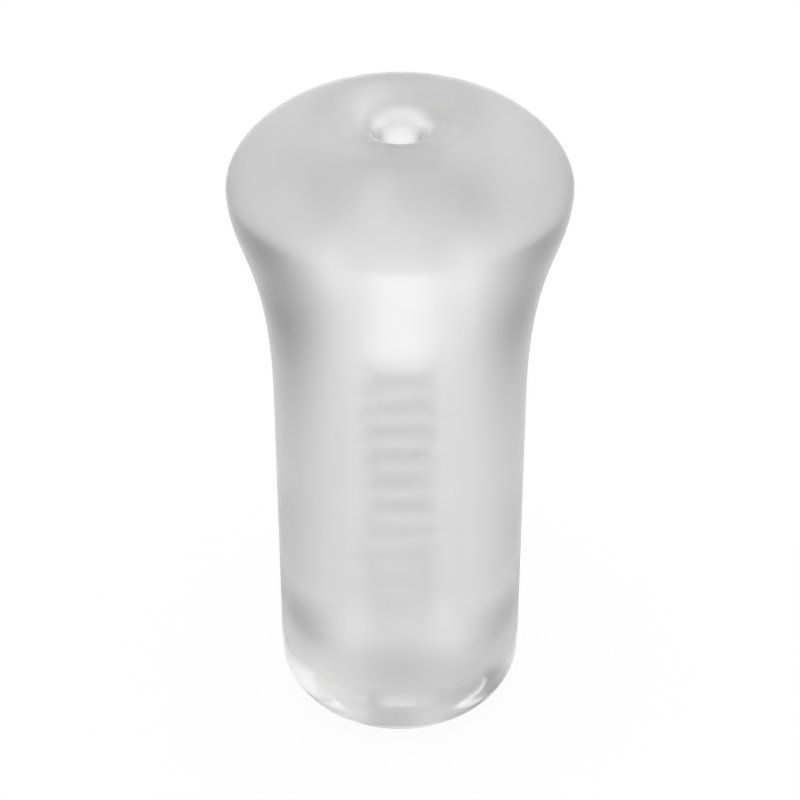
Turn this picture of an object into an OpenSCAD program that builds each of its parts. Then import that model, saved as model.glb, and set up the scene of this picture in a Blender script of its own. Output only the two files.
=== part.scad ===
// Flared elastomer sleeve: an outer body, a ribbed liner in its bore and an end plug.
// Millimetres, +Z up, origin at the middle of the foot.

/* [Barrel] */
// Height from the foot to the crest of the lip
total_h = 130; // [110:1:160]
// Diameter of the straight barrel
barrel_d = 48.5; // [42:0.5:56]
// Radius of the rounded edge round the foot
foot_r = 9; // [4:0.5:12]

/* [Head] */
// Diameter of the head at its widest
head_d = 63; // [58:0.5:76]
// Rise from the head's widest circle to the crest of the lip
head_rise = 12.6; // [8:0.1:18]
// Height of the flare between the barrel and the head's widest circle
flare_h = 46; // [34:0.5:55]
// How far the barrel's line carries up into the flare
flare_ease = 31.4; // [10:0.2:33]
// How far the head's side carries down into the flare
flare_turn = 10; // [3:0.1:14]
// How far the head's side carries up into the dome
dome_turn = 4.6; // [1:0.1:6]
// How far the lip's level carries out into the dome
dome_ease = 9.4; // [6:0.2:14]

/* [Mouth] */
// Diameter of the lip's crest
lip_d = 28; // [22:0.5:34]
// Diameter of the throat and of the channel inside the ribs
throat_d = 8; // [6:0.1:8.8]
// Depth from the lip's crest to the throat
dish_depth = 6; // [4:0.5:12]
// How near the lip's level carries in towards the throat's wall
dish_turn = 0.4; // [0.2:0.1:4]
// How far the throat's wall carries up into the dish
throat_ease = 4; // [1:0.2:5]
// Straight length of the throat below the dish
throat_l = 4; // [2:0.5:10]

/* [Liner] */
// Outer diameter of the liner's tube
liner_d = 15; // [13.6:0.1:16.4]
// Plain length at the liner's upper end
liner_lead = 2; // [1:0.5:6]
// Diameter of the smooth chamber below the lead
chamber_d = 11.4; // [9:0.1:12]
// Length of the chamber
chamber_l = 35; // [20:1:50]
// Length of the rounded step at each end of the chamber
chamber_turn = 4; // [2:0.5:8]
// Spacing of the ribs along the channel
rib_pitch = 6.1; // [4.5:0.1:9]
// Length of a rib's flat crest
rib_land = 1.6; // [0.6:0.1:3]
// Depth of the top groove between two ribs
groove_top = 1.5; // [0.8:0.1:2]
// Depth of the lowest groove between two ribs
groove_low = 0.7; // [0.4:0.1:2]
// Least plain length at the liner's lower end
liner_plain = 2; // [1:0.5:10]
// Gap all round between the liner and the bore
liner_gap = 0.08; // [0.02:0.01:0.1]
// Gap at each end of the liner
liner_end_gap = 0.2; // [0.1:0.1:0.6]

/* [Plug] */
// Diameter of the plug's flange
plug_d = 20; // [18:0.5:24]
// Thickness of the plug's flange
plug_flange_h = 3; // [2:0.1:5]
// Length of the plug's spigot
spigot_l = 7; // [4:0.5:10]
// Chamfer round the tip of the spigot
spigot_chamfer = 0.8; // [0.4:0.1:1.6]
// Diameter of the plug's hollow at its mouth
hollow_d = 7.6; // [6:0.1:10]
// How much the hollow's radius narrows to its top
hollow_draft = 0.6; // [0.2:0.1:1.2]
// Thickness of the web that closes the spigot
plug_web = 1.6; // [1:0.1:3]
// How far the flange sits above the foot
plug_recess = 0.4; // [0.2:0.1:1]
// Gap all round the spigot in the bore
spigot_clear = 0.06; // [0.02:0.01:0.1]
// Gap all round the flange
flange_clear = 0.3; // [0.2:0.05:0.6]

/* [Hidden] */
$fn = 96;
steps = 14;
swell_steps = 6;
barrel_r = barrel_d / 2;
head_r = head_d / 2;
lip_r = lip_d / 2;
head_z = total_h - head_rise;
flare_z = head_z - flare_h;
// throat and bore of the body, from the mouth down
throat_r = throat_d / 2;
throat_z = total_h - dish_depth;
shoulder_z = throat_z - throat_l;
bore_r = liner_d / 2 + liner_gap;
socket_r = plug_d / 2 + flange_clear;
socket_z = plug_recess + plug_flange_h;
// plug
spigot_r = bore_r - spigot_clear;
tip_z = socket_z + spigot_l;
hollow_z = tip_z - plug_web;
hollow_r = hollow_d / 2;
// liner, between the shoulder and the tip of the plug
liner_z = tip_z + liner_end_gap;
liner_top_z = shoulder_z - liner_end_gap;
chamber_z = liner_top_z - liner_lead - chamber_l;
groove_l = rib_pitch - rib_land;
groove_z = chamber_z - rib_land;
groove_count = floor((groove_z - liner_z - liner_plain) / rib_pitch);

flared_body();
ribbed_liner();
end_plug();

// points of a cubic curve after its first point, which the line before it ends on
function curve(a, b, c, d) = [
    for (i = [1:steps])
        let (t = i / steps, s = 1 - t)
        s * s * s * a + 3 * s * s * t * b + 3 * s * t * t * c + t * t * t * d
];

// points of a round edge after its first point
function round_edge(centre, r, from, to) = [
    for (i = [1:steps])
        let (a = from + (to - from) * i / steps)
        centre + r * [cos(a), sin(a)]
];

// a hollow in the channel's wall from its lower end up: a cosine step out, a straight part
// if the length leaves one, and a cosine step back
function swell(low_z, length, depth, turn) = concat(
    [for (j = [0:swell_steps]) swell_point(low_z, depth, turn, j / swell_steps)],
    [for (j = [length > 2 * turn ? swell_steps : swell_steps - 1:-1:0])
        swell_point(low_z + length, depth, -turn, j / swell_steps)]
);

function swell_point(z, depth, turn, share) =
    [throat_r + depth * (1 - cos(180 * share)) / 2, z + turn * share];

// groove i between two ribs, counted down from the chamber
function groove(i) =
    let (depth = groove_top - (groove_top - groove_low) * i / max(groove_count - 1, 1))
    swell(groove_z - i * rib_pitch - groove_l, groove_l, depth, groove_l / 2);

module flared_body() {
    color([0.86, 0.86, 0.87, 0.6])
        rotate_extrude()
            polygon(concat(
                [[socket_r, 0], [barrel_r - foot_r, 0]],
                round_edge([barrel_r - foot_r, foot_r], foot_r, -90, 0),
                [[barrel_r, flare_z]],
                curve([barrel_r, flare_z], [barrel_r, flare_z + flare_ease],
                    [head_r, head_z - flare_turn], [head_r, head_z]),
                curve([head_r, head_z], [head_r, head_z + dome_turn],
                    [lip_r + dome_ease, total_h], [lip_r, total_h]),
                curve([lip_r, total_h], [throat_r + dish_turn, total_h],
                    [throat_r, throat_z + throat_ease], [throat_r, throat_z]),
                [[throat_r, shoulder_z], [bore_r, shoulder_z]],
                [[bore_r, socket_z], [socket_r, socket_z]]
            ));
}

module ribbed_liner() {
    color([0.8, 0.8, 0.81, 0.6])
        rotate_extrude()
            polygon(concat(
                [[throat_r, liner_z]],
                [for (i = [groove_count - 1:-1:0]) each groove(i)],
                swell(chamber_z, chamber_l, chamber_d / 2 - throat_r, chamber_turn),
                [[throat_r, liner_top_z], [liner_d / 2, liner_top_z]],
                [[liner_d / 2, liner_z]]
            ));
}

module end_plug() {
    color([0.74, 0.74, 0.76, 0.6])
        rotate_extrude()
            polygon([
                [0, hollow_z],
                [hollow_r - hollow_draft, hollow_z],
                [hollow_r, plug_recess],
                [plug_d / 2, plug_recess],
                [plug_d / 2, socket_z],
                [spigot_r, socket_z],
                [spigot_r, tip_z - spigot_chamfer],
                [spigot_r - spigot_chamfer, tip_z],
                [0, tip_z]
            ]);
}
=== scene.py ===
import math
import bpy
import numpy as np
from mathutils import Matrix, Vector


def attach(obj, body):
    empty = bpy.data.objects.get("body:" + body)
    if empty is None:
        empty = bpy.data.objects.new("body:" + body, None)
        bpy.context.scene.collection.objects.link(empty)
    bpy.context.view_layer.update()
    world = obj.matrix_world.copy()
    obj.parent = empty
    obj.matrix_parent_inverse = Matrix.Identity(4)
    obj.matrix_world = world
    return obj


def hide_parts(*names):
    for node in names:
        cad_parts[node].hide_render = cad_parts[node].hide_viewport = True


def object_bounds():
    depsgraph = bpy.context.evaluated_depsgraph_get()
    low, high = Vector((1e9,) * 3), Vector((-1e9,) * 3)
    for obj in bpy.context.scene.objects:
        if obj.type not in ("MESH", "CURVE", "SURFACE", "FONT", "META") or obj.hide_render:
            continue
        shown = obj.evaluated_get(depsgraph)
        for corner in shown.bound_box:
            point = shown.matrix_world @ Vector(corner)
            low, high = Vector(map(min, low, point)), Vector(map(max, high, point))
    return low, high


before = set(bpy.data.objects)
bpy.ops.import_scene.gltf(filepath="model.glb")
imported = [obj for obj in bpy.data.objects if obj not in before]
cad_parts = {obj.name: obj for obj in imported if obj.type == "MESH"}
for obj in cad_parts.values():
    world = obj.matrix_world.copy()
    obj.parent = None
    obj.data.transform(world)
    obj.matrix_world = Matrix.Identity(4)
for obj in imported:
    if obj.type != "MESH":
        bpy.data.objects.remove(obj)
cadBounds = [list(corner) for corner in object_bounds()]
scene = bpy.context.scene
mm = 0.001
print("stage: frame loaded")


# a shader socket that takes arithmetic, each operation being a Math node
class Sock:
    def __init__(self, graph, out):
        self.graph, self.out = graph, out

    def of(self, name):
        return Sock(self.graph, self.out.node.outputs[name])

    def math(self, kind, *values):
        return self.graph.node("ShaderNodeMath", {"operation": kind}, dict(enumerate(values)))

    def __add__(self, other):
        return self.math("ADD", self, other)

    def __radd__(self, other):
        return self.math("ADD", other, self)

    def __sub__(self, other):
        return self.math("SUBTRACT", self, other)

    def __rsub__(self, other):
        return self.math("SUBTRACT", other, self)

    def __mul__(self, other):
        return self.math("MULTIPLY", self, other)

    def __rmul__(self, other):
        return self.math("MULTIPLY", other, self)

    def __abs__(self):
        return self.math("ABSOLUTE", self)

    def larger(self, other):
        return self.math("MAXIMUM", self, other)

    def smaller(self, other):
        return self.math("MINIMUM", self, other)

    # 0 below low, 1 above high and a smooth step between
    def step(self, low, high):
        sockets = {"Value": self, "From Min": low, "From Max": high}
        return self.graph.node("ShaderNodeMapRange", {"interpolation_type": "SMOOTHSTEP"}, sockets)


class Graph:
    def __init__(self, owner):
        owner.use_nodes = True
        self.tree = owner.node_tree
        self.tree.nodes.clear()

    def node(self, kind, settings=None, sockets=None):
        made = self.tree.nodes.new(kind)
        for key, value in (settings or {}).items():
            setattr(made, key, value)
        for key, value in (sockets or {}).items():
            if isinstance(value, Sock):
                self.tree.links.new(value.out, made.inputs[key])
            else:
                made.inputs[key].default_value = value
        return Sock(self, made.outputs[0]) if made.outputs else made

    # mix of two colours; 6, 7 and 2 are the colour sockets of the node
    def blend(self, factor, first, second):
        sockets = {"Factor": factor, 6: first, 7: second}
        return self.node("ShaderNodeMix", {"data_type": "RGBA"}, sockets).of(2)


def grey(level):
    return (level, level, level, 1.0)


# cubic curve from a to d, without its first point
def curve(a, b, c, d, count=48):
    t = np.linspace(0, 1, count + 1)[1:, None]
    a, b, c, d = (np.array(p, float) for p in (a, b, c, d))
    return (1 - t) ** 3 * a + 3 * (1 - t) ** 2 * t * b + 3 * (1 - t) * t ** 2 * c + t ** 3 * d


# arc about a centre, angles in degrees, without its first point
def arc(centre, radius, start, end, count=32):
    t = np.radians(np.linspace(start, end, count + 1)[1:, None])
    return np.array(centre) + radius * np.hstack([np.cos(t), np.sin(t)])


# rounded corner at b on the way from a to c, within the given share of each side
def soft(a, b, c, radius=0.25, share=0.45, count=6):
    a, b, c = (np.array(p, float) for p in (a, b, c))
    reach = min(radius, share * np.linalg.norm(a - b), share * np.linalg.norm(c - b))
    start = b + reach * (a - b) / np.linalg.norm(a - b)
    end = b + reach * (c - b) / np.linalg.norm(c - b)
    t = np.linspace(0, 1, count + 1)[:, None]
    return (1 - t) ** 2 * start + 2 * (1 - t) * t * b + t ** 2 * end


# all corners of a path but its two ends, rounded
def softCorners(path):
    return np.vstack([soft(*path[k - 1:k + 2]) for k in range(1, len(path) - 1)])


# long straight runs get a point near each end, so that smooth shading stays on the rounded edges, and
# points that repeat are dropped
def guarded(outline, near=0.06, longRun=0.8, least=1e-6):
    kept = [outline[0]]
    for point in outline[1:]:
        run = point - kept[-1]
        length = np.linalg.norm(run)
        if length > longRun:
            kept += [kept[-1] + near / length * run, point - near / length * run]
        if length > least:
            kept.append(point)
    return np.array(kept)


# surface of revolution: a point is (r cos a, r sin a, z) for each (r, z) of the outline and each
# angle a; the outline runs round the solid with the solid on its left, from pole to pole or as a loop
def lathe(name, outline, around, body, node, materials, bonded):
    outline = guarded(np.asarray(outline, float))
    poles = outline[0, 0] == 0
    ring = outline[1:-1] if poles else outline[:-1]
    angle = np.linspace(0, 2 * math.pi, around, endpoint=False)
    radius, height = ring[:, :1], ring[:, 1:]
    points = np.stack([radius * np.cos(angle), radius * np.sin(angle), height + 0 * angle], -1)
    points = points.reshape(-1, 3) * mm
    rows = len(ring) - 1 if poles else len(ring)
    i, j = np.meshgrid(np.arange(rows), np.arange(around), indexing="ij")
    up, turn = (i + 1) % len(ring), (j + 1) % around
    quads = np.stack([i * around + j, i * around + turn, up * around + turn, up * around + j], -1)
    faces = quads.reshape(-1, 4).tolist()
    middle = (ring[i[:, 0]] + ring[up[:, 0]]) / 2
    slots = np.repeat(bonded(middle[:, 0], middle[:, 1]).astype(int), around)
    if poles:
        low, high = len(points), len(points) + 1
        points = np.vstack([points, [[0, 0, outline[0, 1] * mm], [0, 0, outline[-1, 1] * mm]]])
        j = np.arange(around)
        last = (len(ring) - 1) * around
        faces += np.stack([(j + 1) % around, j, np.full(around, low)], -1).tolist()
        faces += np.stack([last + j, last + (j + 1) % around, np.full(around, high)], -1).tolist()
        slots = np.append(slots, np.zeros(2 * around, int))
    mesh = bpy.data.meshes.new(name)
    mesh.from_pydata(points.tolist(), [], faces)
    mesh.polygons.foreach_set("use_smooth", np.ones(len(faces), bool))
    for material in materials:
        mesh.materials.append(material)
    mesh.polygons.foreach_set("material_index", slots)
    mesh.update()
    piece = bpy.data.objects.new(name, mesh)
    scene.collection.objects.link(piece)
    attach(piece, body)
    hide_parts(node)


# detail of the fine grain and of the clouds, the grain's middle value and the span of the clouds' drift
noiseLook = {"grainDetail": 2.0, "cloudDetail": 3.0, "middle": 0.5, "drift": (0.3, 0.7)}


# clear elastomer with a fine grain; its roughness changes with height over bands of (from, to,
# roughness) in millimetres, and a polished zone mixes a clear lobe into the hazy one
def elastomer(name, look):
    material = bpy.data.materials.new(name)
    graph = Graph(material)
    place = graph.node("ShaderNodeTexCoord").of("Object")
    split = graph.node("ShaderNodeSeparateXYZ", {}, {"Vector": place})
    x, y, z = split.of("X"), split.of("Y"), split.of("Z")
    square = x * x + y * y
    away = square.math("SQRT", square)
    grain = graph.node("ShaderNodeTexNoise", {}, {
        "Vector": place, "Scale": look["grain"], "Detail": noiseLook["grainDetail"]})
    rough = before = look["rough"]
    for low, high, level in look["bands"]:
        rough = rough + z.step(low * mm, high * mm) * (level - before)
        before = level
    rough = rough + (grain - noiseLook["middle"]) * look["grainDepth"]
    # the tone changes above a height or else drifts in clouds, and a core round the axis can be darker;
    # on the liner the step over height paints shade below it, and on the body the darker core is painted
    # shade in the throat
    if "upper" in look:
        upper = z.step(*look["upper"])
    else:
        cloud = graph.node("ShaderNodeTexNoise", {}, {
            "Vector": place, "Scale": look["cloud"], "Detail": noiseLook["cloudDetail"]})
        upper = cloud.step(*noiseLook["drift"])
    # on the liner this step paints shade, darker below the chamber; on the body and plug the clouds drift
    # at random
    tone = graph.blend(upper, grey(look["tone"]), grey(look["toneUpper"]))
    if "core" in look:
        # painted shade: the colour is darker round the axis, in the throat
        tone = graph.blend(away.step(*look["core"]), grey(look["throatShadeTone"]), tone)
    # ribs show most on their crests, less towards the low end and least above the height
    alpha = look["alpha"]
    if "crest" in look:
        alpha = alpha + away.step(*look["crest"]) * (look["alphaGroove"] - look["alpha"])
        alpha = alpha * (look["lowShare"] + z.step(*look["lowEnd"]) * (1 - look["lowShare"]))
        alpha = alpha + upper * (look["alphaUpper"] - alpha)
    common = {"Base Color": tone, "IOR": look["ior"], "Transmission Weight": 1.0, "Alpha": alpha}
    shader = graph.node("ShaderNodeBsdfPrincipled", {}, {"Roughness": rough, **common})
    if "polish" in look:
        zone = (1 - z.step(*look["polishBelow"])).larger(1 - away.step(*look["polishWithin"]))
        clear = graph.node("ShaderNodeBsdfPrincipled", {}, {"Roughness": look["clear"], **common})
        shader = graph.node("ShaderNodeMixShader", {}, {0: zone * look["polish"], 1: shader, 2: clear})
    graph.node("ShaderNodeOutputMaterial", {}, {"Surface": shader})
    return material


# a face that lies against another piece: soft elastomer clings to itself, so the joint hardly shows
def clinging(name, look):
    material = bpy.data.materials.new(name)
    graph = Graph(material)
    shader = graph.node("ShaderNodeBsdfPrincipled", {}, {
        "Base Color": grey(look["tone"]), "Roughness": look["rough"], "IOR": look["ior"],
        "Transmission Weight": 1.0, "Alpha": look["alpha"]})
    graph.node("ShaderNodeOutputMaterial", {}, {"Surface": shader})
    return material


boreFace = clinging("boreFace", {"tone": 0.85, "rough": 0.3, "ior": 1.45, "alpha": 0.03})
drawnFace = clinging("drawnFace", {"tone": 0.9, "rough": 0.3, "ior": 1.45, "alpha": 0.12})

# gaps between the pieces in millimetres, as in the part's source
gaps = {"liner": 0.08, "linerEnd": 0.2, "spigot": 0.06, "flange": 0.3}
# how near to a fit, in millimetres, a face counts as part of it
touch = {"wall": 0.1, "seat": 0.05, "edge": 0.3, "end": 0.02, "under": 0.2}

# sizes of the outer body in millimetres, as in the part's source; widths are radii
bodyForm = {
    "top": cadBounds[1][2] / mm, "head": cadBounds[1][0] / mm, "barrel": 24.25, "foot": 9.0,
    "headRise": 12.6, "flare": 46.0, "flareEase": 31.4, "flareTurn": 10.0, "domeTurn": 4.6, "domeEase": 9.4,
    "lip": 14.0, "dish": 6.0, "dishTurn": 0.4, "throat": 4.0, "throatEase": 4.0, "throatLong": 4.0,
    "bore": 7.58, "socket": 10.3, "socketTop": 3.4,
}
bodyForm["throatZ"] = bodyForm["top"] - bodyForm["dish"]
bodyForm["shoulder"] = bodyForm["throatZ"] - bodyForm["throatLong"]
# satin where it left a blasted mould wall, polished in the foot and in the dish of the mouth, and with
# painted shade in the throat, where the colour is darker
bodyLook = {
    "tone": 0.8, "toneUpper": 0.82, "throatShadeTone": 0.6, "core": (4.2 * mm, 5.2 * mm), "alpha": 1.0,
    "ior": 1.45, "rough": 0.3, "bands": [(9, 15, 0.7), (28, 38, 0.35), (116, 126, 0.31)], "clear": 0.12,
    "polish": 0.74, "polishBelow": (11 * mm, 16 * mm), "polishWithin": (5 * mm, 14 * mm),
    "grain": 4000.0, "grainDepth": 0.05, "cloud": 45.0,
}


def bodyOutline(f):
    wide = f["top"] - f["headRise"]
    flareZ = wide - f["flare"]
    lip, throat = (f["lip"], f["top"]), (f["throat"], f["throatZ"])
    base = (f["barrel"] - f["foot"], 0)
    path = [throat, (f["throat"], f["shoulder"]), (f["bore"], f["shoulder"]), (f["bore"], f["socketTop"]),
            (f["socket"], f["socketTop"]), (f["socket"], 0), base]
    return np.vstack([
        [base],
        arc((base[0], f["foot"]), f["foot"], -90, 0),
        [(f["barrel"], flareZ)],
        curve((f["barrel"], flareZ), (f["barrel"], flareZ + f["flareEase"]),
              (f["head"], wide - f["flareTurn"]), (f["head"], wide)),
        curve((f["head"], wide), (f["head"], wide + f["domeTurn"]),
              (f["lip"] + f["domeEase"], f["top"]), lip),
        curve(lip, (f["throat"] + f["dishTurn"], f["top"]),
              (f["throat"], f["throatZ"] + f["throatEase"]), throat),
        softCorners(path),
        [base],
    ])


# faces that another piece lies against: the bore, its shoulder and the socket
def bodyBonded(r, z):
    f = bodyForm
    across = (r > f["throat"] + touch["wall"]) & (r < f["socket"] + touch["seat"])
    return across & (z > touch["edge"]) & (z < f["shoulder"] + touch["seat"])


lathe("sleeveSkin", bodyOutline(bodyForm), around=224,
      body="sleeve", node="flared_body",
      materials=[elastomer("satinElastomer", bodyLook), boreFace], bonded=bodyBonded)
print("stage: body built")

# sizes of the liner in millimetres; each groove between two ribs is one cosine swell
linerForm = {
    "tube": bodyForm["bore"] - gaps["liner"], "top": bodyForm["shoulder"] - gaps["linerEnd"], "low": 10.6,
    "throat": bodyForm["throat"], "lead": 2.0, "chamber": 5.7, "chamberLong": 35.0, "chamberTurn": 4.0,
    "pitch": 6.1, "land": 1.6, "count": 11, "deep": 1.5, "shallow": 0.7,
}
# the crests of the ribs show as bands through the wall, fainter towards the foot, and the chamber above
# them hardly shows; the colour is darker below the chamber, painted shade for the dark core, near white
# above
linerLook = {
    "tone": 0.6, "toneUpper": 0.98, "upper": (84 * mm, 90 * mm), "alpha": 0.5, "alphaGroove": 0.28,
    "alphaUpper": 0.1, "crest": (4.1 * mm, 4.8 * mm), "lowShare": 0.74, "lowEnd": (20 * mm, 75 * mm),
    "ior": 1.45, "rough": 0.2, "bands": [(10, 20, 0.3)], "grain": 4000.0, "grainDepth": 0.04,
}


# a hollow in the channel's wall from its top down: a cosine step out and a cosine step back
def swell(throat, top, length, depth, turn, count=12):
    u = np.linspace(0, 1, count + 1)
    out = throat + depth * (1 - np.cos(math.pi * u)) / 2
    back = np.stack([out, top - length + turn * u], -1)[::-1]
    return np.vstack([np.stack([out, top - turn * u], -1), back])


def linerOutline(f):
    throat, long = f["throat"], f["pitch"] - f["land"]
    chamberTop = f["top"] - f["lead"]
    chamber = swell(throat, chamberTop, f["chamberLong"], f["chamber"] - throat, f["chamberTurn"])
    first = chamberTop - f["chamberLong"] - f["land"]
    depths = np.linspace(f["deep"], f["shallow"], f["count"])
    grooves = [swell(throat, first - k * f["pitch"], long, d, long / 2) for k, d in enumerate(depths)]
    path = [(throat, f["low"]), (f["tube"], f["low"]), (f["tube"], f["top"]), (throat, f["top"]),
            (throat, chamberTop)]
    return np.vstack([[path[0]], softCorners(path), chamber, *grooves, [path[0]]])


# faces that lie against the bore, its shoulder and the plug
def linerBonded(r, z):
    f = linerForm
    ends = (z < f["low"] + touch["end"]) | (z > f["top"] - touch["end"])
    return ends | (r > f["tube"] - touch["edge"])


lathe("linerSkin", linerOutline(linerForm), around=128,
      body="liner", node="ribbed_liner",
      materials=[elastomer("linerElastomer", linerLook), drawnFace], bonded=linerBonded)
print("stage: liner built")

# sizes of the plug in millimetres
plugForm = {
    "flange": bodyForm["socket"] - gaps["flange"], "flangeTop": bodyForm["socketTop"], "recess": 0.4,
    "spigot": bodyForm["bore"] - gaps["spigot"], "tip": linerForm["low"] - gaps["linerEnd"], "chamfer": 0.8,
    "hollow": 3.8, "draft": 0.6, "web": 1.6, "channel": linerForm["throat"],
}
plugForm["hollowTop"] = plugForm["tip"] - plugForm["web"]
# satin all over, a little deeper in tone than the body
plugLook = {
    "tone": 0.76, "toneUpper": 0.8, "alpha": 1.0, "ior": 1.45, "rough": 0.4, "bands": [(1, 4, 0.5)],
    "grain": 4000.0, "grainDepth": 0.04, "cloud": 60.0,
}


def plugOutline(f):
    path = [(0, f["hollowTop"]), (f["hollow"] - f["draft"], f["hollowTop"]), (f["hollow"], f["recess"]),
            (f["flange"], f["recess"]), (f["flange"], f["flangeTop"]), (f["spigot"], f["flangeTop"]),
            (f["spigot"], f["tip"] - f["chamfer"]), (f["spigot"] - f["chamfer"], f["tip"]),
            (f["channel"], f["tip"]), (0, f["tip"])]
    return np.vstack([[path[0]], softCorners(path), [path[-1]]])


# faces that lie against the socket, the bore and the liner's end
def plugBonded(r, z):
    f = plugForm
    side = (r > f["spigot"] - touch["seat"]) & (z > f["recess"] + touch["under"])
    end = (r > f["channel"]) & (z > f["tip"] - f["chamfer"])
    return side | end


lathe("plugSkin", plugOutline(plugForm), around=128,
      body="plug", node="end_plug",
      materials=[elastomer("plugElastomer", plugLook), drawnFace], bonded=plugBonded)
print("stage: plug built")

# a round white plinth that the camera sees through to the white room, but for a small share near the
# object, which keeps the shadow
plinthLook = {
    "colour": 0.9, "low": -0.2, "reach": 100.0, "sides": 96, "fade": (30 * mm, 90 * mm), "real": 0.08,
}
angle = np.linspace(0, 2 * math.pi, plinthLook["sides"], endpoint=False)
rim = np.stack([plinthLook["reach"] * np.cos(angle), plinthLook["reach"] * np.sin(angle),
                plinthLook["low"] + 0 * angle], -1) * mm
plinthMesh = bpy.data.meshes.new("plinth")
plinthMesh.from_pydata(rim.tolist(), [], [list(range(len(rim)))])
plinth = bpy.data.objects.new("plinth", plinthMesh)
scene.collection.objects.link(plinth)
plinth.visible_transmission = False
plinth.visible_glossy = False
paperMaterial = bpy.data.materials.new("plinthPaper")
graph = Graph(paperMaterial)
direct = graph.node("ShaderNodeLightPath").of("Is Camera Ray")
place = graph.node("ShaderNodeTexCoord").of("Object")
away = graph.node("ShaderNodeVectorMath", {"operation": "LENGTH"}, {0: place}).of("Value")
share = direct * (1 - plinthLook["real"] * (1 - away.step(*plinthLook["fade"])))
paper = graph.node("ShaderNodeBsdfDiffuse", {}, {"Color": grey(plinthLook["colour"])})
through = graph.node("ShaderNodeBsdfTransparent")
lit = graph.node("ShaderNodeMixShader", {}, {0: share, 1: paper, 2: through})
graph.node("ShaderNodeOutputMaterial", {}, {"Surface": lit})
plinthMesh.materials.append(paperMaterial)

# the room: one plain level with soft panels of more or less light, each with its middle and half widths
# in degrees, turn from straight behind and rise above the horizon; a panel is on both sides unless it is
# sided, and the camera itself sees plain white
roomLook = {"level": 0.97, "least": 0.02, "most": 1.35, "panels": {
    "behind": {"turn": 0, "rise": -21, "wide": 25, "tall": 17, "gain": 0.85},
    "lowBehind": {"turn": 0, "rise": -63, "wide": 25, "tall": 13, "gain": -0.38},
    "below": {"turn": 0, "rise": -90, "wide": 360, "tall": 38, "gain": -0.42},
    "mouthGlint": {"turn": 13, "rise": -65, "wide": 10, "tall": 12, "gain": 1.1, "sided": True},
    "lowSides": {"turn": 15, "rise": -41, "wide": 9, "tall": 11, "gain": 0.3},
    "lowFlanks": {"turn": 47, "rise": -59, "wide": 36, "tall": 18, "gain": -0.7},
    "flanks": {"turn": 52, "rise": -19, "wide": 42, "tall": 27, "gain": -1.13},
    "leftFlank": {"turn": -52, "rise": -27, "wide": 42, "tall": 24, "gain": 0.2, "sided": True},
    "sideFloor": {"turn": 100, "rise": -42, "wide": 37, "tall": 15, "gain": 0.35},
    "nearRight": {"turn": 20, "rise": -14, "wide": 29, "tall": 12, "gain": -0.25, "sided": True},
    "highRight": {"turn": 36, "rise": 40, "wide": 43, "tall": 28, "gain": 0.66, "sided": True},
    "highLeft": {"turn": -40, "rise": 41, "wide": 40, "tall": 28, "gain": -0.95, "sided": True},
    "highFront": {"turn": 150, "rise": 28, "wide": 60, "tall": 25, "gain": 0.35},
    "horizon": {"turn": 0, "rise": 5, "wide": 76, "tall": 16, "gain": -0.34},
    "front": {"turn": 180, "rise": -31, "wide": 65, "tall": 35, "gain": -0.12},
}}


# 1 at the middle of an angle's span, 0 at its ends
def bump(angle, middle, half):
    return 1 - abs((angle - middle) * (1 / half)).step(0.0, 1.0)


world = bpy.data.worlds.new("studio")
scene.world = world
graph = Graph(world)
direct = graph.node("ShaderNodeLightPath").of("Is Camera Ray")
place = graph.node("ShaderNodeTexCoord").of("Generated")
split = graph.node("ShaderNodeSeparateXYZ", {}, {"Vector": place})
x, y, z = split.of("X"), split.of("Y"), split.of("Z")
degrees = 180 / math.pi
rise, turn = z.math("ARCSINE", z) * degrees, x.math("ARCTAN2", x, y) * degrees
room = roomLook["level"]
for panel in roomLook["panels"].values():
    across = bump(turn if "sided" in panel else abs(turn), panel["turn"], panel["wide"])
    room = room + panel["gain"] * across * bump(rise, panel["rise"], panel["tall"])
room = room.larger(roomLook["least"]).smaller(roomLook["most"])
around = graph.node("ShaderNodeBackground", {}, {"Color": grey(1.0), "Strength": room})
white = graph.node("ShaderNodeBackground", {}, {"Color": grey(1.0), "Strength": 1.0})
shown = graph.node("ShaderNodeMixShader", {}, {0: direct, 1: around, 2: white})
graph.node("ShaderNodeOutputWorld", {}, {"Surface": shown})

# one wide lamp above, in metres and watts
lamp = {"at": (-0.3, -0.2, 1.2), "aim": (0, 0, 0.05), "size": 1.4, "power": 3.0}
light = bpy.data.lights.new("top", "AREA")
light.size, light.energy = lamp["size"], lamp["power"]
holder = bpy.data.objects.new("top", light)
scene.collection.objects.link(holder)
holder.location = lamp["at"]
holder.rotation_euler = (Vector(lamp["aim"]) - holder.location).to_track_quat("-Z", "Y").to_euler()
print("stage: floor and light set")

# the camera looks down at the photo's angle from the distance that fits its outline: focal is the focal
# length in pixels of a picture of that width, and scale the millimetres across a pixel at the aim
view = {"tilt": 36.0, "focal": 2440.0, "scale": 0.1926, "aimZ": 68.8, "sensor": 36.0, "width": 800}
tilt, distance = math.radians(view["tilt"]), view["focal"] * view["scale"] * mm
lens = bpy.data.cameras.new("camera")
lens.sensor_width = view["sensor"]
lens.lens = view["sensor"] * view["focal"] / view["width"]
eye = bpy.data.objects.new("camera", lens)
scene.collection.objects.link(eye)
eye.location = (0, -distance * math.cos(tilt), view["aimZ"] * mm + distance * math.sin(tilt))
eye.rotation_euler = (math.pi / 2 - tilt, 0, 0)
scene.camera = eye
scene.view_settings.view_transform = "Standard"
# light crosses many faces inside clear pieces, and a low limit would leave dark patches
bounces = 32
for limit in ("max_bounces", "transmission_bounces", "glossy_bounces", "transparent_max_bounces"):
    setattr(scene.cycles, limit, bounces)
print("stage: camera set")
